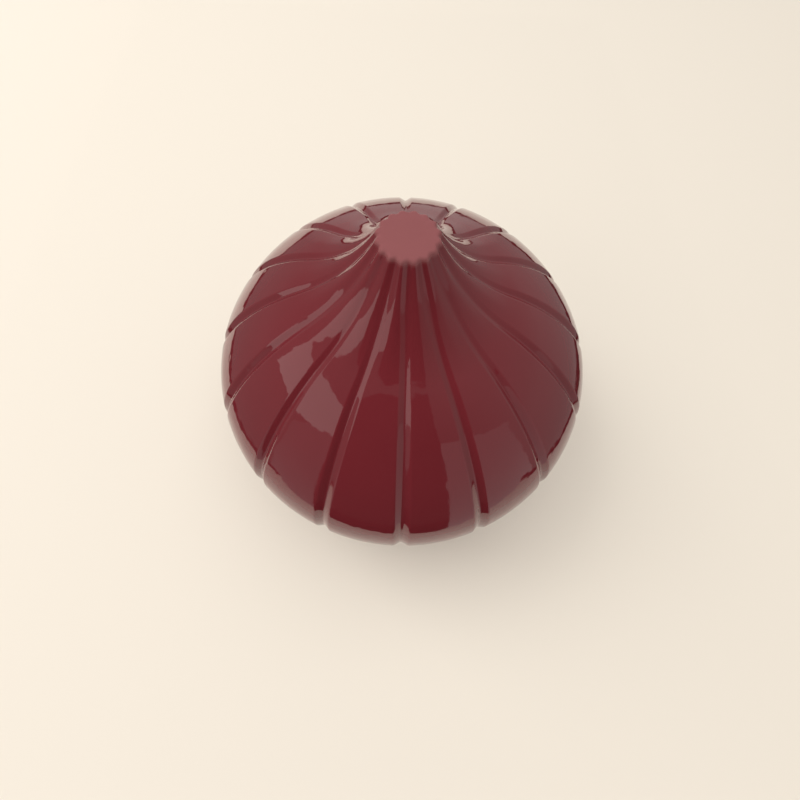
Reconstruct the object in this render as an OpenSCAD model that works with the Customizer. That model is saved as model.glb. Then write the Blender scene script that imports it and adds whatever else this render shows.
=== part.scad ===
// Onion-shaped produce keeper: a ribbed lid and a ribbed base that lock with a bayonet,
// with a soft seal ring between them. Millimetres, +Z up, origin at the centre of the foot.

/* [Body] */
// Widest diameter of the closed keeper
body_d = 110; // [104:1:116]
// Height of the widest ring above the foot
widest_z = 42; // [41.5:0.5:43]
// Wall thickness of both shells
wall = 2.4; // [2.2:0.1:2.6]
// Arc radius of the shoulder, just above the widest ring
shoulder_r = 28.5; // [27:0.5:30]
// Angle that the shoulder arc turns through
shoulder_turn = 36.5; // [35:0.5:38]
// Arc radius of the crown, above the shoulder
crown_r = 67; // [64:1:70]
// Slope angle where the crown turns into the hollow neck
crown_turn = 65; // [64:0.5:66]
// Arc radius of the hollow neck
neck_r = 40.5; // [39.5:0.5:42]
// Arc radius of the belly, just below the widest ring
belly_r = 38; // [37:0.5:39]
// Angle that the belly arc turns through
belly_turn = 48; // [47:0.5:49]
// Arc radius of the underside, from the belly to the foot
under_r = 64; // [63.5:0.5:65]

/* [Stem] */
// Radius of the flat end of the stem
stem_r = 5.9; // [5.6:0.1:6.2]

/* [Grooves] */
// Number of grooves round the body
groove_count = 16; // [16:1:16]
// Width of a groove at the widest ring
groove_w = 3.4; // [3:0.1:3.8]
// Width that the grooves narrow to at the axis
tip_groove_w = 1.1; // [0.9:0.1:1.2]
// Depth of a groove
groove_depth = 1.2; // [1:0.05:1.3]

/* [Rim and lock] */
// Distance of the seam below the widest ring
seam_drop = 3; // [2.5:0.5:3.5]
// Gap left at the seam when the lid is closed
seam_gap = 0.05; // [0.02:0.01:0.1]
// Chamfer on both edges of the seam
seam_chamfer = 0.4; // [0.3:0.1:0.5]
// Outer radius of the collar on the base
collar_r = 51.2; // [51:0.1:51.3]
// Wall thickness of the collar
collar_wall = 1.7; // [1.5:0.1:1.8]
// Height of the collar above the seam
collar_h = 7; // [6.8:0.1:7.2]
// How far the lugs and tabs stand out
lug_reach = 1.1; // [1:0.05:1.15]
// Number of lugs on the collar, and of tabs in the lid
lug_count = 4; // [4:1:4]
// Angle covered by one lug or one tab
lug_span = 24; // [22:1:25]
// Angle that the lid turns through to lock, one groove pitch
lock_turn = 22.5; // [22.5:0.5:22.5]

/* [Seal] */
// Thickness of the flat seal ring
seal_h = 1.5; // [1.3:0.1:1.5]
// Radial width of the seal ring
seal_w = 2.6; // [2.4:0.1:2.7]
// Running gap round the seal ring
seal_fit = 0.05; // [0.03:0.01:0.1]

/* [Foot] */
// Thickness of the floor inside the base
floor_t = 2.8; // [2.6:0.1:3]
// Radius of the shallow recess under the foot
recess_r = 13; // [12:0.5:14]
// Depth of the recess under the foot
recess_h = 0.8; // [0.6:0.1:0.9]

/* [Hidden] */
$fn = 128;

burgundy = [0.42, 0.13, 0.15];
seal_grey = [0.86, 0.85, 0.82];

body_r = body_d / 2;
seam_z = widest_z - seam_drop;
pitch = 360 / groove_count;

// Centres of the outline's arcs, as [radius from the axis, height]
shoulder_c = [body_r - shoulder_r, widest_z];
crown_c = shoulder_c + (shoulder_r - crown_r) * [cos(shoulder_turn), sin(shoulder_turn)];
neck_c = crown_c + (crown_r + neck_r) * [cos(crown_turn), sin(crown_turn)];
belly_c = [body_r - belly_r, widest_z];
under_c = belly_c + (belly_r - under_r) * [cos(belly_turn), -sin(belly_turn)];

// The neck arc ends where it meets the rim of the stem
neck_end = acos((neck_c[0] - stem_r) / neck_r);
top_z = neck_c[1] - neck_r * sin(neck_end);

// Heights inside the rim, from the seam upward
tab_z = seam_z + 0.5;
tab_h = 1.9;
lug_gap = 0.3;     // between a tab and the lug above it
lug_z = tab_z + tab_h + lug_gap;
lug_h = 1.7;
lug_at = lug_span + 2;   // a lug passes down beside a tab, 2 degrees away
stop_span = 3;
stop_at = lug_at - lug_span / 2 - lock_turn - 0.4 - stop_span / 2;
collar_top = seam_z + collar_h;
collar_root = 6;   // how far the collar's solid reaches down into the base
seal_z = collar_top + seal_fit;
web_z = seal_z + seal_h + seal_fit;
web_h = 1.4;
lip_h = 1.1;
lip_w = 1.1;
seal_out_r = collar_r - 0.2;
seal_in_r = seal_out_r - seal_w;
lid_bore_r = body_r - wall;
tab_in_r = lid_bore_r - lug_reach;
tab_out_r = lid_bore_r + wall / 2;
collar_in_r = collar_r - collar_wall;

// Outline points where one arc meets the next, moved in by a wall thickness
function shoulder_end(inset) = shoulder_c + (shoulder_r - inset) * [cos(shoulder_turn), sin(shoulder_turn)];
function crown_end(inset) = crown_c + (crown_r - inset) * [cos(crown_turn), sin(crown_turn)];
function belly_end(inset) = belly_c + (belly_r - inset) * [cos(belly_turn), -sin(belly_turn)];

// A level band of the half outline, from height z0 to z1
module band(z0, z1) {
    translate([0, z0]) square([body_r, z1 - z0]);
}

// Half outline above the widest ring, up to height top
module upper_outline(inset, top) {
    intersection() {
        band(widest_z, shoulder_end(inset)[1]);
        union() {
            translate([0, widest_z]) square([shoulder_c[0], shoulder_r]);
            translate(shoulder_c) circle(r = shoulder_r - inset);
        }
    }
    intersection() {
        band(shoulder_end(inset)[1], crown_end(inset)[1]);
        translate(crown_c) circle(r = crown_r - inset, $fn = 256);
    }
    difference() {
        translate([0, crown_end(inset)[1]]) square([crown_end(inset)[0], top - crown_end(inset)[1]]);
        translate(neck_c) circle(r = neck_r + inset, $fn = 512);
    }
}

// Half outline below the widest ring, down to height bottom
module lower_outline(inset, bottom) {
    intersection() {
        band(belly_end(inset)[1], widest_z);
        union() {
            translate([0, belly_end(inset)[1]]) square([belly_c[0], belly_r]);
            translate(belly_c) circle(r = belly_r - inset);
        }
    }
    intersection() {
        band(bottom, belly_end(inset)[1]);
        translate(under_c) circle(r = under_r - inset, $fn = 256);
    }
}

// A ring with a rectangular section
module ring(r_in, r_out, z, h) {
    translate([0, 0, z]) difference() {
        cylinder(r = r_out, h = h);
        translate([0, 0, -1]) cylinder(r = r_in, h = h + 2);
    }
}

// A piece of such a ring, centred on an angle
module ring_piece(r_in, r_out, z, h, at, span) {
    translate([0, 0, z])
        rotate_extrude(angle = span, start = at - span / 2)
            translate([r_in, 0]) square([r_out - r_in, h]);
}

// Plan of the ribs: a disc cut by one tapered slot for each groove, with one groove at the front
module rib_plan() {
    difference() {
        circle(r = body_r + 1);
        for (i = [0 : groove_count - 1])
            rotate(-90 + i * pitch)
                polygon([[0, -tip_groove_w / 2], [body_r + 2, -groove_w / 2],
                         [body_r + 2, groove_w / 2], [0, tip_groove_w / 2]]);
    }
}

// Ribs and groove floors of a shell: its two children are the outline and the sunk outline
module ribbed(z0, z1) {
    intersection() {
        rotate_extrude() children(0);
        translate([0, 0, z0]) linear_extrude(z1 - z0) rib_plan();
    }
    rotate_extrude() children(1);
}

// A V-shaped ring that chamfers the outer edge of a shell at height z
module edge_chamfer(z) {
    r = belly_c[0] + sqrt(belly_r * belly_r - seam_drop * seam_drop);
    translate([0, 0, z]) rotate_extrude()
        polygon([[r - seam_chamfer, 0], [r + 1, -seam_chamfer - 1], [r + 1, seam_chamfer + 1]]);
}

// Half outline of the lid, from the seam to the end of the stem
module lid_outline(inset) {
    upper_outline(inset, top_z);
    intersection() {
        lower_outline(inset, 0);
        band(seam_z + seam_gap, widest_z);
    }
}

// Half outline of the base, from the foot to the seam
module base_outline(inset) {
    intersection() {
        lower_outline(inset, 0);
        band(0, seam_z);
    }
}

module lid() {
    color(burgundy) {
        difference() {
            ribbed(seam_z - 1, top_z + 1) {
                lid_outline(0);
                lid_outline(groove_depth);
            }
            rotate_extrude() {
                upper_outline(wall, top_z - wall);
                translate([0, seam_z - 1]) square([lid_bore_r, seam_drop + 1]);
            }
            edge_chamfer(seam_z + seam_gap);
        }
        // Web and lip that hold the seal ring
        intersection() {
            union() {
                ring(seal_in_r - seal_fit - lip_w, lid_bore_r + 1, web_z, web_h);
                ring(seal_in_r - seal_fit - lip_w, seal_in_r - seal_fit, web_z - lip_h, lip_h + 0.1);
            }
            rotate_extrude() upper_outline(wall / 2, top_z - wall);
        }
        // Tabs that turn under the lugs of the collar, each with a stop that ends the turn
        for (i = [0 : lug_count - 1]) {
            at = i * 360 / lug_count;
            ring_piece(tab_in_r, tab_out_r, tab_z, tab_h, at, lug_span);
            ring_piece(tab_in_r, tab_out_r, tab_z, tab_h + lug_gap + lug_h, at + stop_at, stop_span);
        }
    }
}

module base() {
    color(burgundy) {
        difference() {
            union() {
                difference() {
                    ribbed(-1, seam_z + 1) {
                        base_outline(0);
                        base_outline(groove_depth);
                    }
                    edge_chamfer(seam_z);
                }
                translate([0, 0, seam_z - collar_root]) cylinder(r = collar_r, h = collar_h + collar_root);
            }
            // Inside: a straight bore, then the belly's own curve down to a flat floor
            rotate_extrude() intersection() {
                lower_outline(wall, floor_t);
                translate([0, floor_t]) square([collar_in_r, widest_z]);
            }
            translate([0, 0, widest_z - 1]) cylinder(r = collar_in_r, h = collar_h + 2);
            translate([0, 0, -1]) cylinder(r = recess_r, h = recess_h + 1);
        }
        // Lugs round the collar
        for (i = [0 : lug_count - 1])
            ring_piece(collar_r - collar_wall / 2, collar_r + lug_reach, lug_z, lug_h,
                       i * 360 / lug_count + lug_at, lug_span);
    }
}

module seal_ring() {
    color(seal_grey) ring(seal_in_r, seal_out_r, seal_z, seal_h);
}

base();
lid();
seal_ring();
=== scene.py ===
"""Looks of an onion-shaped food keeper: a ribbed lid and base in gloss plastic, with a soft seal ring."""
import math

import bmesh
import bpy
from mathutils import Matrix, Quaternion, Vector


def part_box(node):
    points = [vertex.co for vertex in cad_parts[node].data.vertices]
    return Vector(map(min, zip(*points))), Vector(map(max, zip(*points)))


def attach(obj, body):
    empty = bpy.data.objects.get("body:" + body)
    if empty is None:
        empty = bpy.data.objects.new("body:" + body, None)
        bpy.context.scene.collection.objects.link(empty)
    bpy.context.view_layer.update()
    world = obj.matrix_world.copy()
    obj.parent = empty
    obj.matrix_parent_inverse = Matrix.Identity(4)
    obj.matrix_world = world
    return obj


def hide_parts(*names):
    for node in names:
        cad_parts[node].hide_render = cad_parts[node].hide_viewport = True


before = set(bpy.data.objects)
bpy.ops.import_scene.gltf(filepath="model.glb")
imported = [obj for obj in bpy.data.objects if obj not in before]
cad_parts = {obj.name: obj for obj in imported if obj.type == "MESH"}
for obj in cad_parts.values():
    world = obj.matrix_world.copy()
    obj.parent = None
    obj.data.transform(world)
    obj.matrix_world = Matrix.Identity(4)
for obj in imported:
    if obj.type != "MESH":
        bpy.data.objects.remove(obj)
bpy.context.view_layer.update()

MM = 0.001

# ---------------------------------------------------------------- sizes in millimetres, as in the CAD model
GROOVES = 16
PITCH = 2 * math.pi / GROOVES
FRONT = -math.pi / 2          # one groove faces the front
SLOT_W = 3.4                  # groove width in the CAD model, at the edge of its box

LID_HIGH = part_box("lid")[1] / MM
SEAL_LOW, SEAL_HIGH = (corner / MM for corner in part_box("seal_ring"))

BODY_R = round(math.hypot(LID_HIGH.x, SLOT_W / 2), 1)
TOP_Z = math.floor(LID_HIGH.z / MM) * MM     # a hair low, so that rounding can't leave the CAD model's box
WIDEST_Z = 42.0
SEAM_Z = 39.0
SEAM_GAP = 0.05
WALL = 2.4
STEM_R = 5.9

SHOULDER_R, SHOULDER_TURN = 28.5, math.radians(36.5)
CROWN_R, CROWN_TURN = 67.0, math.radians(65)
NECK_R = 40.5
BELLY_R, BELLY_TURN = 38.0, math.radians(48)
UNDER_R = 64.0

COLLAR_R = 51.2
COLLAR_WALL = 1.7
COLLAR_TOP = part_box("base")[1].z / MM
LUG_REACH = 1.1
LUG_COUNT = 4
LUG_SPAN = 24.0
LUG_AT = 26.0
STOP_AT = -10.4
STOP_SPAN = 3.0
TAB_Z, TAB_H = 39.5, 1.9
LUG_Z, LUG_H = 41.7, 1.7
LID_BORE_R = BODY_R - WALL
WEB_Z, WEB_H = 47.6, 1.4
LIP_H, LIP_W = 1.1, 1.1
SEAL_FIT = 0.05
SEAL_W = 2.6
FLOOR_T = 2.8
RECESS_R, RECESS_H = 13.0, 0.8

# Grooves: half width and depth on the body and at the end of the stem
GROOVE_HALF, TIP_HALF = 2.35, 1.0
GROOVE_DEPTH, TIP_DEPTH = 1.0, 0.4
ROUNDED, HOLLOW = 0.9, 0.35   # both radii of a groove's section over its half width, and the hollow's share
MOST_OF_PITCH = 0.44
FLUTED = 26.0                 # distance from the stem's rim over which round flutes turn into grooves
GROOVE_STEPS, RIB_STEPS = 20, 8
ROW_STEP = 0.8                # spacing of the mesh rows along the outline


# ---------------------------------------------------------------- outline, in the (radius, height) plane
def along(centre, radius, turn):
    """The point of an arc at an angle above the horizontal."""
    return Vector((centre.x + radius * math.cos(turn), centre.y + radius * math.sin(turn)))


SHOULDER_C = Vector((BODY_R - SHOULDER_R, WIDEST_Z))
CROWN_C = along(SHOULDER_C, SHOULDER_R - CROWN_R, SHOULDER_TURN)
NECK_C = along(CROWN_C, CROWN_R + NECK_R, CROWN_TURN)
BELLY_C = Vector((BODY_R - BELLY_R, WIDEST_Z))
UNDER_C = along(BELLY_C, BELLY_R - UNDER_R, -BELLY_TURN)
NECK_END = math.asin((NECK_C.y - TOP_Z) / NECK_R)


def arc(centre, radius, start, end, step=ROW_STEP):
    """Points of an arc with their outward normals. A negative radius is an arc that is hollow outside."""
    count = max(2, math.ceil(abs(radius * (end - start)) / step))
    made = []
    for i in range(count + 1):
        turn = start + (end - start) * i / count
        made.append((along(centre, radius, turn), Vector((math.cos(turn), math.sin(turn)))))
    return made


def turn_at_height(centre, radius, z):
    return math.asin((z - centre.y) / radius)


def turn_at_radius(centre, radius, r):
    return math.acos((r - centre.x) / radius)


def lid_outline():
    """From the seam up to the rim of the stem's end."""
    start = turn_at_height(BELLY_C, BELLY_R, SEAM_Z + SEAM_GAP)
    points = arc(BELLY_C, BELLY_R, start, 0)
    points += arc(SHOULDER_C, SHOULDER_R, 0, SHOULDER_TURN)[1:]
    points += arc(CROWN_C, CROWN_R, SHOULDER_TURN, CROWN_TURN)[1:]
    points += arc(NECK_C, -NECK_R, CROWN_TURN, NECK_END)[1:]
    return points


def base_outline():
    """From the edge of the foot up to the seam."""
    foot = turn_at_height(UNDER_C, UNDER_R, 0)
    points = arc(UNDER_C, UNDER_R, foot, -BELLY_TURN)
    points += arc(BELLY_C, BELLY_R, -BELLY_TURN, turn_at_height(BELLY_C, BELLY_R, SEAM_Z))[1:]
    return points


def rounded(path, curve_steps=4):
    """The points of a path of (r, z). A third number cuts that corner back by so much and rounds it."""
    made = []
    for i, point in enumerate(path):
        here = Vector(point[:2])
        if len(point) < 3:
            made.append(here)
            continue
        before = here + (Vector(path[i - 1][:2]) - here).normalized() * point[2]
        after = here + (Vector(path[i + 1][:2]) - here).normalized() * point[2]
        made += bend(before, here, after, curve_steps)
    return made


def bend(before, corner, after, steps=4):
    """Points of a quadratic curve that rounds a corner."""
    made = []
    for i in range(steps + 1):
        t = i / steps
        made.append(before * (1 - t) ** 2 + corner * 2 * t * (1 - t) + after * t * t)
    return made


def plain(points):
    return [(p.x, p.y) for p, _ in points]


# ---------------------------------------------------------------- grooves
def mix(low, high, t):
    return low + (high - low) * t


def smooth(t):
    t = min(1.0, max(0.0, t))
    return t * t * (3 - 2 * t)


def from_stem(r):
    """0 at the stem's end, 1 at the widest ring."""
    return (r - STEM_R) / (BODY_R - STEM_R)


def groove_half(r):
    return min(mix(TIP_HALF, GROOVE_HALF, from_stem(r)), MOST_OF_PITCH * PITCH * r)


def groove_depth(r):
    return mix(TIP_DEPTH, GROOVE_DEPTH, from_stem(r))


def groove_section(share, half, depth):
    """Depth at a share of the half width: a hollow bottom, a straight flank, then a rounded shoulder."""
    steep = depth / half - ROUNDED
    slope = math.atan(steep) + math.asin(ROUNDED / math.hypot(1, steep))
    hollow = HOLLOW * ROUNDED * half
    shoulder = ROUNDED * half - hollow
    u = abs(share) * half
    if u < hollow * math.sin(slope):
        return depth - hollow + math.sqrt(hollow * hollow - u * u)
    from_edge = half - u
    if from_edge < shoulder * math.sin(slope):
        return shoulder - math.sqrt(shoulder * shoulder - from_edge * from_edge)
    return shoulder * (1 - math.cos(slope)) + (from_edge - shoulder * math.sin(slope)) * math.tan(slope)


def columns(r):
    """Angle and place in the groove (-1 to 1, and 1 all over a rib) of each mesh column at a radius."""
    half_turn = groove_half(max(r, 0.01)) / max(r, 0.01)
    made = []
    for k in range(GROOVES):
        centre = FRONT + k * PITCH
        for i in range(GROOVE_STEPS):
            share = 2 * i / GROOVE_STEPS - 1
            made.append((centre + share * half_turn, share))
        rib = PITCH - 2 * half_turn
        for i in range(RIB_STEPS):
            made.append((centre + half_turn + rib * i / RIB_STEPS, 1.0))
    return made


def sink_at(r, angle, share):
    """How deep a column lies: round flutes at the stem, which turn into grooves between plain ribs."""
    depth = groove_depth(r)
    flute = depth * (1 + math.cos(GROOVES * (angle - FRONT))) / 2
    return mix(flute, groove_section(share, groove_half(r), depth), smooth((r - STEM_R) / FLUTED))


# ---------------------------------------------------------------- mesh building
def place(r, z, angle):
    return Vector((r * math.cos(angle) * MM, r * math.sin(angle) * MM, z * MM))


def plain_row(r, z):
    return [place(r, z, angle) for angle, _ in columns(r)]


def grooved_row(point, normal, weight=1.0, level=0.0):
    """One ring of the outside. level turns the grooves' sink from square to the surface to horizontal."""
    made = []
    for angle, share in columns(point.x):
        sink = weight * sink_at(point.x, angle, share)
        square = Vector((-normal.x, -normal.y)) * sink
        flat = Vector((-sink / normal.x, 0))
        p = point + square.lerp(flat, level)
        made.append(place(p.x, p.y, angle))
    return made


def edge_rows(point, normal, slope, inward, cut, steps=4):
    """Rows that round the edge between the grooved outside and a level face."""
    rows = [[] for _ in range(steps + 1)]
    for angle, share in columns(point.x):
        sink = sink_at(point.x, angle, share)
        corner = Vector((point.x - sink / normal.x, point.y))
        curve = bend(corner + slope * cut, corner, corner + inward * cut, steps)
        for row, p in zip(rows, curve):
            row.append(place(p.x, p.y, angle))
    return rows


def skin(bm, rows, first_pole=None, last_pole=None):
    """Joins rings of points with quads, and closes the ends onto the axis."""
    rings = [[bm.verts.new(p) for p in row] for row in rows]
    count = len(rings[0])
    for low, high in zip(rings, rings[1:]):
        for i in range(count):
            j = (i + 1) % count
            bm.faces.new((low[i], low[j], high[j], high[i]))
    for ring, pole in ((rings[0], first_pole), (rings[-1], last_pole)):
        if pole is None:
            continue
        tip = bm.verts.new((0, 0, pole * MM))
        for i in range(count):
            bm.faces.new((ring[i], ring[(i + 1) % count], tip))


def arc_block(bm, r_in, r_out, z, h, at, span, bevel=0.25, steps=16):
    """A curved block, such as a lug or a tab, with bevelled edges."""
    start = math.radians(at - span / 2)
    sections = []
    for i in range(steps + 1):
        angle = start + math.radians(span) * i / steps
        sections.append([bm.verts.new(place(r, level, angle))
                         for r, level in ((r_in, z), (r_out, z), (r_out, z + h), (r_in, z + h))])
    faces = []
    for one, two in zip(sections, sections[1:]):
        for i in range(4):
            j = (i + 1) % 4
            faces.append(bm.faces.new((one[i], one[j], two[j], two[i])))
    faces.append(bm.faces.new(sections[0]))
    faces.append(bm.faces.new(sections[-1]))
    bmesh.ops.recalc_face_normals(bm, faces=faces)
    sharp = [e for e in {e for f in faces for e in f.edges}
             if len(e.link_faces) == 2 and e.calc_face_angle() > math.radians(40)]
    bmesh.ops.bevel(bm, geom=sharp, offset=bevel * MM, segments=3, profile=0.5, affect="EDGES")


def finish_piece(name, bm, material, body, node):
    mesh = bpy.data.meshes.new(name)
    bmesh.ops.recalc_face_normals(bm, faces=bm.faces)
    for face in bm.faces:
        face.smooth = True
    bm.to_mesh(mesh)
    bm.free()
    piece = bpy.data.objects.new(name, mesh)
    bpy.context.scene.collection.objects.link(piece)
    mesh.materials.append(material)
    weighted = piece.modifiers.new("weighted_normals", "WEIGHTED_NORMAL")
    weighted.weight = 50
    weighted.keep_sharp = True
    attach(piece, body)
    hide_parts(node)


# ---------------------------------------------------------------- pieces
STEM_EDGE = 0.55    # how much the edge round the stem's end is cut back
STEM_END_RINGS = (1.5, 3.0)     # radii of the mesh rings on the stem's end
FROSTED_AND_SHEEN_H = 1.1     # how far the frosting of the stem's end, with its painted pale sheen, fades down the ribs
SEAM_EDGE = 0.45    # how much the edges at the seam are cut back
LEVELLING = 4.0     # height over which the grooves' sink turns level, at the stem's end and at the seam
FOOT_FADE = 9.0     # distance from the foot over which the grooves of the base grow to their full depth
SEAL_EDGE = 0.3
SEAL_STEPS = 192
HOLLOW_DEPTH, HOLLOW_HALF = 0.2, 0.7     # of the seal's faces


def lid_inside():
    """From the lid's bottom face, up the bore, round the web and lip that hold the seal, to the ceiling."""
    inner_r = SHOULDER_R - WALL
    web_turn = turn_at_height(SHOULDER_C, inner_r, WEB_Z)
    web_top_turn = turn_at_height(SHOULDER_C, inner_r, WEB_Z + WEB_H)
    ceiling_z = TOP_Z - WALL
    neck_inner = NECK_R + WALL
    ceiling_turn = math.asin((NECK_C.y - ceiling_z) / neck_inner)
    lip_out = SEAL_HIGH.x - SEAL_W - SEAL_FIT
    lip_in = lip_out - LIP_W
    path = [(LID_BORE_R, SEAM_Z + SEAM_GAP, 0.3)]
    path += plain(arc(SHOULDER_C, inner_r, 0, web_turn))[:-1]
    wall = along(SHOULDER_C, inner_r, web_turn)
    path += [(wall.x, wall.y, 0.35), (lip_out, WEB_Z, 0.3), (lip_out, WEB_Z - LIP_H, 0.3),
             (lip_in, WEB_Z - LIP_H, 0.3), (lip_in, WEB_Z + WEB_H, 0.4)]
    wall = along(SHOULDER_C, inner_r, web_top_turn)
    path += [(wall.x, wall.y, 0.4)]
    path += plain(arc(SHOULDER_C, inner_r, web_top_turn, SHOULDER_TURN, 1.5))[1:]
    path += plain(arc(CROWN_C, CROWN_R - WALL, SHOULDER_TURN, CROWN_TURN, 1.5))[1:]
    path += plain(arc(NECK_C, -neck_inner, CROWN_TURN, ceiling_turn, 1.5))[1:-1]
    end = along(NECK_C, -neck_inner, ceiling_turn)
    path += [(end.x, ceiling_z, 0.5), (end.x / 2, ceiling_z)]
    return path


def make_lid(material):
    bm = bmesh.new()
    outline = lid_outline()
    rim, rim_normal = outline[-1]
    seam, seam_normal = outline[0]
    down_slope = Vector((rim_normal.y, -rim_normal.x))
    end_edge = edge_rows(rim, rim_normal, down_slope, Vector((-1, 0)), STEM_EDGE)
    rows = [plain_row(r, TOP_Z) for r in STEM_END_RINGS]
    rows += list(reversed(end_edge))
    for point, normal in reversed(outline):
        if not SEAM_Z + SEAM_GAP + SEAM_EDGE < point.y < TOP_Z - STEM_EDGE:
            continue
        level = smooth(1 - (TOP_Z - point.y) / LEVELLING)
        level = max(level, smooth(1 - (point.y - SEAM_Z) / LEVELLING))
        rows.append(grooved_row(point, normal, level=level))
    rows += edge_rows(seam, seam_normal, Vector((0, 1)), Vector((-1, 0)), SEAM_EDGE)
    inside = rounded([(BODY_R, SEAM_Z + SEAM_GAP)] + lid_inside())[1:]
    rows += [plain_row(p.x, p.y) for p in inside]
    skin(bm, rows, TOP_Z, TOP_Z - WALL)
    tab_in, tab_out = LID_BORE_R - LUG_REACH, LID_BORE_R + WALL / 3
    for i in range(LUG_COUNT):
        at = i * 360 / LUG_COUNT
        arc_block(bm, tab_in, tab_out, TAB_Z, TAB_H, at, LUG_SPAN)
        arc_block(bm, tab_in, tab_out, TAB_Z, LUG_Z + LUG_H - TAB_Z, at + STOP_AT, STOP_SPAN, steps=3)
    finish_piece("lid_shell", bm, material, "lid", "lid")


def base_inside():
    """From the seam's ledge, over the collar and down the bore to the floor."""
    collar_in = COLLAR_R - COLLAR_WALL
    belly_inner = BELLY_R - WALL
    under_inner = UNDER_R - WALL
    bore_turn = -turn_at_radius(BELLY_C, belly_inner, collar_in)
    floor_turn = turn_at_height(UNDER_C, under_inner, FLOOR_T)
    path = [(COLLAR_R, SEAM_Z, 0.4), (COLLAR_R, COLLAR_TOP, 0.5), (collar_in, COLLAR_TOP, 0.5)]
    path += plain(arc(BELLY_C, belly_inner, bore_turn, -BELLY_TURN, 1.5))
    path += plain(arc(UNDER_C, under_inner, -BELLY_TURN, floor_turn, 1.5))[1:-1]
    end = along(UNDER_C, under_inner, floor_turn)
    path += [(end.x, FLOOR_T, 0.7), (end.x / 2, FLOOR_T)]
    return path


def make_base(material):
    bm = bmesh.new()
    outline = base_outline()
    foot = outline[0][0]
    seam, seam_normal = outline[-1]
    under = rounded([(4, RECESS_H), (RECESS_R, RECESS_H, 0.3), (RECESS_R, 0, 0.3), (foot.x - 2, 0)])
    rows = [plain_row(p.x, p.y) for p in under]
    for point, normal in outline[1:]:
        if point.y > SEAM_Z - SEAM_EDGE:
            continue
        weight = smooth((point.x - foot.x) / FOOT_FADE)
        level = smooth(1 - (SEAM_Z - point.y) / LEVELLING)
        rows.append(grooved_row(point, normal, weight, level))
    rows += edge_rows(seam, seam_normal, Vector((0, -1)), Vector((-1, 0)), SEAM_EDGE)
    inside = rounded([(BODY_R, SEAM_Z)] + base_inside())[1:]
    rows += [plain_row(p.x, p.y) for p in inside]
    skin(bm, rows, RECESS_H, FLOOR_T)
    for i in range(LUG_COUNT):
        arc_block(bm, COLLAR_R - COLLAR_WALL / 2, COLLAR_R + LUG_REACH, LUG_Z, LUG_H,
                  i * 360 / LUG_COUNT + LUG_AT, LUG_SPAN)
    finish_piece("base_shell", bm, material, "base", "base")


def make_seal(material):
    """A flat soft ring with rounded edges and a shallow hollow in each face."""
    bm = bmesh.new()
    inner, outer = SEAL_HIGH.x - SEAL_W, SEAL_HIGH.x
    low, high = SEAL_LOW.z, SEAL_HIGH.z
    middle = (inner + outer) / 2
    left, right = middle - HOLLOW_HALF, middle + HOLLOW_HALF
    loop = [(inner, low, SEAL_EDGE), (left, low), (middle, low + HOLLOW_DEPTH, SEAL_EDGE), (right, low),
            (outer, low, SEAL_EDGE), (outer, high, SEAL_EDGE), (right, high),
            (middle, high - HOLLOW_DEPTH, SEAL_EDGE), (left, high), (inner, high, SEAL_EDGE)]
    section = rounded([*loop, loop[0][:2]])[:-1]
    turns = [2 * math.pi * i / SEAL_STEPS for i in range(SEAL_STEPS)]
    rings = [[bm.verts.new(place(p.x, p.y, turn)) for turn in turns] for p in section]
    for low_ring, high_ring in zip(rings, rings[1:] + rings[:1]):
        for i in range(SEAL_STEPS):
            j = (i + 1) % SEAL_STEPS
            bm.faces.new((low_ring[i], low_ring[j], high_ring[j], high_ring[i]))
    finish_piece("seal", bm, material, "lid_carrier", "seal_ring")


# ---------------------------------------------------------------- materials
def new_material(name):
    material = bpy.data.materials.new(name)
    material.use_nodes = True
    tree = material.node_tree
    return material, tree, tree.nodes["Principled BSDF"]


def noise(tree, source, scale, detail=2.0, roughness=0.5):
    """Smooth noise from 0 to 1. The scale is how many lumps lie on a metre."""
    made = tree.nodes.new("ShaderNodeTexNoise")
    made.inputs["Scale"].default_value = scale
    made.inputs["Detail"].default_value = detail
    made.inputs["Roughness"].default_value = roughness
    tree.links.new(source, made.inputs["Vector"])
    return made.outputs["Fac"]


def ramp(tree, source, low, high, low_value, high_value):
    """A straight rise from one value to another while the source goes from low to high, level outside."""
    made = tree.nodes.new("ShaderNodeMapRange")
    made.inputs["From Min"].default_value = low
    made.inputs["From Max"].default_value = high
    made.inputs["To Min"].default_value = low_value
    made.inputs["To Max"].default_value = high_value
    tree.links.new(source, made.inputs["Value"])
    return made.outputs["Result"]


def blended(tree, share, first, second):
    """A colour between two others. Each is a fixed colour, or an output to take it from."""
    blend = tree.nodes.new("ShaderNodeMix")
    blend.data_type = "RGBA"
    tree.links.new(share, blend.inputs[0])
    for socket, colour in ((blend.inputs[6], first), (blend.inputs[7], second)):
        if isinstance(colour, tuple):
            socket.default_value = (*colour, 1)
        else:
            tree.links.new(colour, socket)
    return blend.outputs[2]


def calculated(tree, operation, first, second):
    made = tree.nodes.new("ShaderNodeMath")
    made.operation = operation
    tree.links.new(first, made.inputs[0])
    tree.links.new(second, made.inputs[1])
    return made.outputs[0]


def bumped(tree, shader, height):
    """A surface raised by a height in millimetres."""
    bump = tree.nodes.new("ShaderNodeBump")
    bump.inputs["Strength"].default_value = 1
    bump.inputs["Distance"].default_value = MM
    tree.links.new(height, bump.inputs["Height"])
    tree.links.new(bump.outputs["Normal"], shader.inputs["Normal"])


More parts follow.
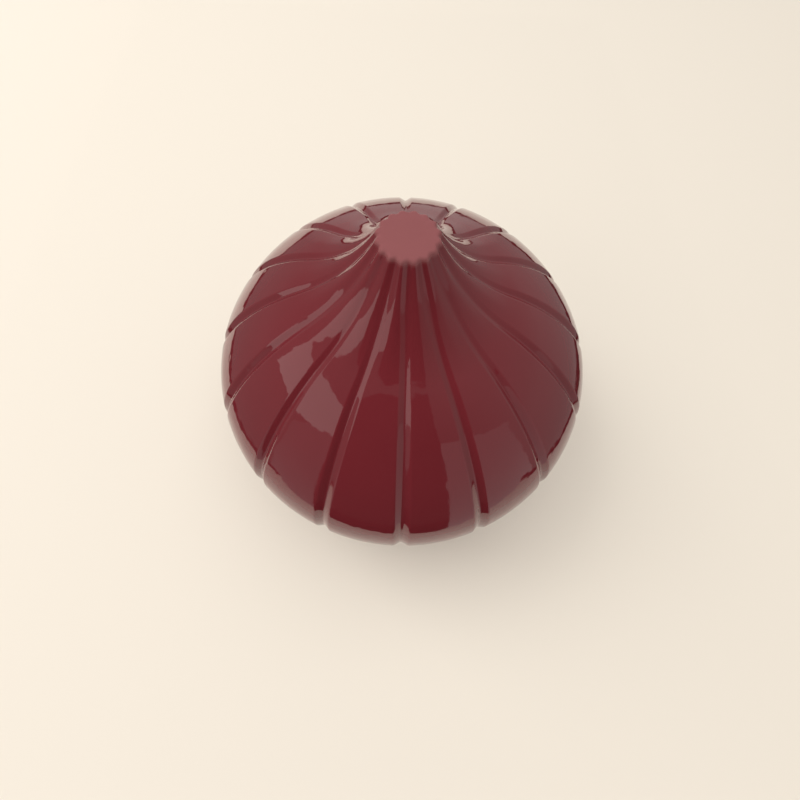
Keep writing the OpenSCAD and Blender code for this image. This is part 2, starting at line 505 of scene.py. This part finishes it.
def burgundy_plastic():
    """Gloss plastic with waves, sink marks, orange peel and uneven polish, frosted at the stem's end, where
    a lighter tint is painted reflection of the bright ceiling and painted highlight on the rounded rib
    ends.
    """
    material, tree, shader = new_material("burgundy_gloss_plastic")
    where = tree.nodes.new("ShaderNodeTexCoord").outputs["Object"]
    parts = tree.nodes.new("ShaderNodeSeparateXYZ")
    tree.links.new(where, parts.inputs["Vector"])
    # Mask of the stem's end: it makes the surface frosted and rough, and also paints it a lighter tint
    frosting_and_sheen = ramp(tree, parts.outputs["Z"], (TOP_Z - FROSTED_AND_SHEEN_H) * MM, (TOP_Z - STEM_EDGE / 2) * MM, 0, 1)
    gloss_tint = blended(tree, noise(tree, where, 35, 3), (0.138, 0.0151, 0.0208), (0.166, 0.0192, 0.0265))
    # The lighter tint is painted reflection of the bright ceiling on the stem's end and painted highlight
    # on the rounded rib ends, over the plastic's own colour
    frosted_and_sheen_tint = blended(tree, noise(tree, where, 160, 3), (0.228, 0.066, 0.071), (0.256, 0.077, 0.082))
    tree.links.new(blended(tree, frosting_and_sheen, gloss_tint, frosted_and_sheen_tint), shader.inputs["Base Color"])
    polish = ramp(tree, noise(tree, where, 60, 6, 0.6), 0.45, 0.75, 0.035, 0.1)
    blasting = ramp(tree, frosting_and_sheen, 0, 1, 0, 0.55)
    tree.links.new(calculated(tree, "MAXIMUM", polish, blasting), shader.inputs["Roughness"])
    shader.inputs["IOR"].default_value = 1.5
    waves = ramp(tree, noise(tree, where, 45, 1), 0, 1, 0, 0.18)
    sinks = ramp(tree, noise(tree, where, 170, 2), 0, 1, 0, 0.09)
    peel = ramp(tree, noise(tree, where, 900, 1), 0, 1, 0, 0.0015)
    grain = calculated(tree, "MULTIPLY", frosting_and_sheen, ramp(tree, noise(tree, where, 3500, 2), 0, 1, 0, 0.015))
    uneven = calculated(tree, "ADD", waves, sinks)
    bumped(tree, shader, calculated(tree, "ADD", calculated(tree, "ADD", uneven, peel), grain))
    return material


def silicone():
    """Milky soft rubber with a satin skin and a few dust marks."""
    material, tree, shader = new_material("silicone")
    where = tree.nodes.new("ShaderNodeTexCoord").outputs["Object"]
    tint = blended(tree, noise(tree, where, 90, 3), (0.68, 0.66, 0.615), (0.75, 0.73, 0.69))
    tree.links.new(tint, shader.inputs["Base Color"])
    tree.links.new(ramp(tree, noise(tree, where, 250, 3), 0.35, 0.7, 0.42, 0.6), shader.inputs["Roughness"])
    bumped(tree, shader, ramp(tree, noise(tree, where, 1500, 2), 0, 1, 0, 0.01))
    return material


plastic = burgundy_plastic()
make_lid(plastic)
make_base(plastic)
make_seal(silicone())


# ---------------------------------------------------------------- stage, in metres
TABLE_CORNERS = [(-0.165, -0.13), (0.165, -0.13), (0.13, 0.03), (0.12, 0.245), (-0.165, 0.255)]
# Corners of the dark strip of painted shade round the table's edge
EDGE_CORNERS = [(-0.185, -0.13), (0.18, -0.13), (0.148, 0.03), (0.138, 0.29), (-0.185, 0.3)]
FLOOR_TINT = (0.825, 0.775, 0.69, 1)
FLOOR_HALF = 4.0
WALL_R, WALL_H = 3.9, 8.0

# How bright the room is in a direction: from and to on one axis of the direction, then the values there.
# The first is a strength, and each of the others is a factor of it.
LEFT_TO_RIGHT = (-0.5, 0.4, 0.36, 0.48)
FAR_RIGHT = (0.5, 0.9, 1.0, 1.1)
LOW_DOWN = (-0.35, 0.1, 0.65, 1.0)
UNDERNEATH = (-0.49, -0.46, 0.06, 1.0)
BEHIND = (0.85, 0.96, 0.9, 1.9)
IN_FRONT = (-0.95, -0.3, 0.5, 1.0)
ROOM_TINT = (1.0, 0.95, 0.9, 1)

# Cloths in front: left and right edge, top, how much wider they are at the top
FLAG_Y, FLAG_LOW, FLAG_LEAN = -0.2, -0.25, 1.2
DARK_FLAG = (-0.13, 0.065, 0.44, 1.6)
RIGHT_FLAG = (0.065, 0.34, 0.2, 1.3)
LEFT_FLAG = (-0.34, -0.13, 0.2, 1.3)


def hide_from(thing, *rays):
    for ray in rays:
        setattr(thing, "visible_" + ray, False)


def flat_piece(name, corners, material):
    mesh = bpy.data.meshes.new(name)
    mesh.from_pydata(corners, [], [range(len(corners))])
    mesh.materials.append(material)
    piece = bpy.data.objects.new(name, mesh)
    bpy.context.scene.collection.objects.link(piece)
    return piece


def matte(name, colour, specular=0.0):
    material, _, shader = new_material(name)
    shader.inputs["Base Color"].default_value = colour
    shader.inputs["Roughness"].default_value = 0.8
    shader.inputs["Specular IOR Level"].default_value = specular
    return material


def glowing(name, colour, strength):
    material, _, shader = new_material(name)
    shader.inputs["Base Color"].default_value = (0, 0, 0, 1)
    shader.inputs["Specular IOR Level"].default_value = 0
    shader.inputs["Emission Color"].default_value = colour
    shader.inputs["Emission Strength"].default_value = strength
    return material


def make_floor():
    """A wide pale floor, and the smaller table that the gloss reflects in its place, ringed by a dark strip
    that is painted shade beyond the table's edge.
    """
    pale = matte("pale_matte", FLOOR_TINT, 0.2)
    # Dark strip round the table, seen only in the gloss: painted shade below and beyond the table's edge
    edge = matte("table_edge_shade", (0.015, 0.01, 0.01, 1))
    corners = [(x * FLOOR_HALF, y * FLOOR_HALF, 0) for x, y in ((-1, -1), (1, -1), (1, 1), (-1, 1))]
    floor = flat_piece("floor", corners, pale)
    hide_from(floor, "glossy")
    for name, corners, z, material in (("table_top", TABLE_CORNERS, 0.1, pale),
                                       ("table_edge_shade", EDGE_CORNERS, 0.05, edge)):
        table = flat_piece(name, [(x, y, z * MM) for x, y in corners], material)
        hide_from(table, "camera", "diffuse", "shadow", "transmission", "volume_scatter")


def make_backdrop():
    """A pale round wall at the floor's end, for views from the side."""
    material = glowing("pale_wall", FLOOR_TINT, 1)
    bm = bmesh.new()
    bmesh.ops.create_circle(bm, segments=96, radius=WALL_R)
    made = bmesh.ops.extrude_edge_only(bm, edges=bm.edges[:])["geom"]
    upper = [v for v in made if isinstance(v, bmesh.types.BMVert)]
    bmesh.ops.translate(bm, verts=upper, vec=(0, 0, WALL_H))
    mesh = bpy.data.meshes.new("backdrop")
    bm.to_mesh(mesh)
    bm.free()
    mesh.materials.append(material)
    wall = bpy.data.objects.new("backdrop", mesh)
    bpy.context.scene.collection.objects.link(wall)
    hide_from(wall, "diffuse", "glossy", "shadow", "transmission", "volume_scatter")


def make_flags():
    """A dark cloth between two pale ones in front, which show only as reflections."""
    dark = matte("dark_cloth", (0.06, 0.05, 0.05, 1))
    pale = glowing("pale_cloth", (1, 0.93, 0.9, 1), 0.62)
    dim = glowing("dim_cloth", (1, 0.93, 0.9, 1), 0.44)
    for name, size, cloth in (("dark_flag", DARK_FLAG, dark), ("right_flag", RIGHT_FLAG, pale),
                              ("left_flag", LEFT_FLAG, dim)):
        left, right, high, spread = size
        upper_y = FLAG_Y * FLAG_LEAN
        corners = [(left, FLAG_Y, FLAG_LOW), (right, FLAG_Y, FLAG_LOW),
                   (right * spread, upper_y, high), (left * spread, upper_y, high)]
        flag = flat_piece(name, corners, cloth)
        hide_from(flag, "camera", "diffuse", "shadow", "transmission", "volume_scatter")


def soft_light(name, where, aim, width, height, power, tint=(1, 1, 1), mirrored=False):
    data = bpy.data.lights.new(name, "AREA")
    data.shape = "RECTANGLE"
    data.size = width
    data.size_y = height
    data.energy = power
    data.color = tint
    lamp = bpy.data.objects.new(name, data)
    lamp.location = where
    lamp.rotation_euler = (Vector(aim) - Vector(where)).to_track_quat("-Z", "Y").to_euler()
    bpy.context.scene.collection.objects.link(lamp)
    hide_from(lamp, "camera")
    if not mirrored:
        hide_from(lamp, "glossy")


def make_room():
    """Soft surroundings: lighter on the right and behind, dimmer in front and low down, dark underneath."""
    world = bpy.data.worlds.new("room")
    bpy.context.scene.world = world
    world.use_nodes = True
    tree = world.node_tree
    parts = tree.nodes.new("ShaderNodeSeparateXYZ")
    tree.links.new(tree.nodes.new("ShaderNodeTexCoord").outputs["Generated"], parts.inputs["Vector"])
    strength = ramp(tree, parts.outputs["X"], *LEFT_TO_RIGHT)
    for axis, span in (("X", FAR_RIGHT), ("Z", LOW_DOWN), ("Z", UNDERNEATH), ("Y", BEHIND),
                       ("Y", IN_FRONT)):
        factor = ramp(tree, parts.outputs[axis], *span)
        strength = calculated(tree, "MULTIPLY", strength, factor)
    background = tree.nodes["Background"]
    background.inputs["Color"].default_value = ROOM_TINT
    tree.links.new(strength, background.inputs["Strength"])


make_floor()
make_backdrop()
make_flags()
make_room()
soft_light("key", (-0.98, 0.47, 1.1), (0, 0, 0.03), 0.9, 0.9, 8.6, (1.0, 0.97, 0.93))
soft_light("fill", (0, 0.18, 1.79), (0, 0, 0), 2.5, 2.5, 24.5, (1.0, 0.97, 0.94))
soft_light("left_panel", (-0.77, -0.414, 0.57), (0, 0, 0.04), 1.2, 0.4, 1.8, (1.0, 0.92, 0.88), True)
bpy.context.scene.view_settings.view_transform = "Standard"


# ---------------------------------------------------------------- camera
CAMERA_AZIMUTH = math.radians(-2.1)      # off the front, towards the left
CAMERA_ELEVATION = math.radians(65)
CAMERA_DISTANCE = 115.2 * MM             # from the centre of the widest ring
CAMERA_ROLL = math.radians(2.6)
AIM = Vector((-0.6, -12.7, WIDEST_Z)) * MM
SENSOR_WIDTH, FOCAL_LENGTH = 36, 15.84   # millimetres


def make_camera():
    lens = bpy.data.cameras.new("camera")
    lens.sensor_width = SENSOR_WIDTH
    lens.lens = FOCAL_LENGTH
    lens.clip_start = 5 * MM
    camera = bpy.data.objects.new("camera", lens)
    middle = Vector((0, 0, WIDEST_Z * MM))
    offset = Vector((math.sin(CAMERA_AZIMUTH) * math.cos(CAMERA_ELEVATION),
                     -math.cos(CAMERA_AZIMUTH) * math.cos(CAMERA_ELEVATION),
                     math.sin(CAMERA_ELEVATION)))
    camera.location = middle + offset * CAMERA_DISTANCE
    look = (AIM - camera.location).to_track_quat("-Z", "Y")
    camera.rotation_mode = "QUATERNION"
    camera.rotation_quaternion = look @ Quaternion((0, 0, 1), CAMERA_ROLL)
    bpy.context.scene.collection.objects.link(camera)
    bpy.context.scene.camera = camera


make_camera()
